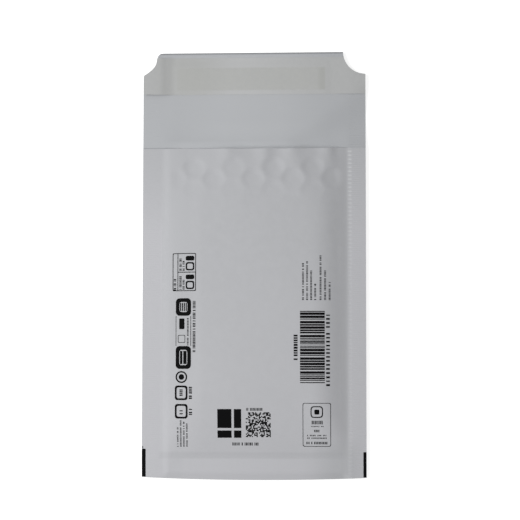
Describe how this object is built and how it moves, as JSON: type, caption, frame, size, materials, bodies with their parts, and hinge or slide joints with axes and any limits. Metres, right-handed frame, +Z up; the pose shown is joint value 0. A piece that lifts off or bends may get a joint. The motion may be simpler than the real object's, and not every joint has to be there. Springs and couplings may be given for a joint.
{
  "type": "padded envelope",
  "caption": "Paper mailing envelope lined with bubble film, open at the mouth, with a self-seal flap under a release strip.",
  "frame": {"origin": "centre of the footprint, on the surface that the envelope lies on", "axes": "+X across the width, towards the flap corner with the round cut; +Y from the folded bottom to the flap; +Z up, out of the printed closure side"},
  "size_m": [0.12, 0.2298, 0.0103],
  "materials": {
    "cover_paper": "matte",
    "bubble_film": "gloss",
    "adhesive": "satin",
    "release_paper": "satin"
  },
  "bodies": {
    "root": {"paper_cover": "cover_paper", "bubble_liner": "bubble_film", "adhesive_strip": "adhesive", "release_strip": "release_paper"}
  },
  "joints": []
}
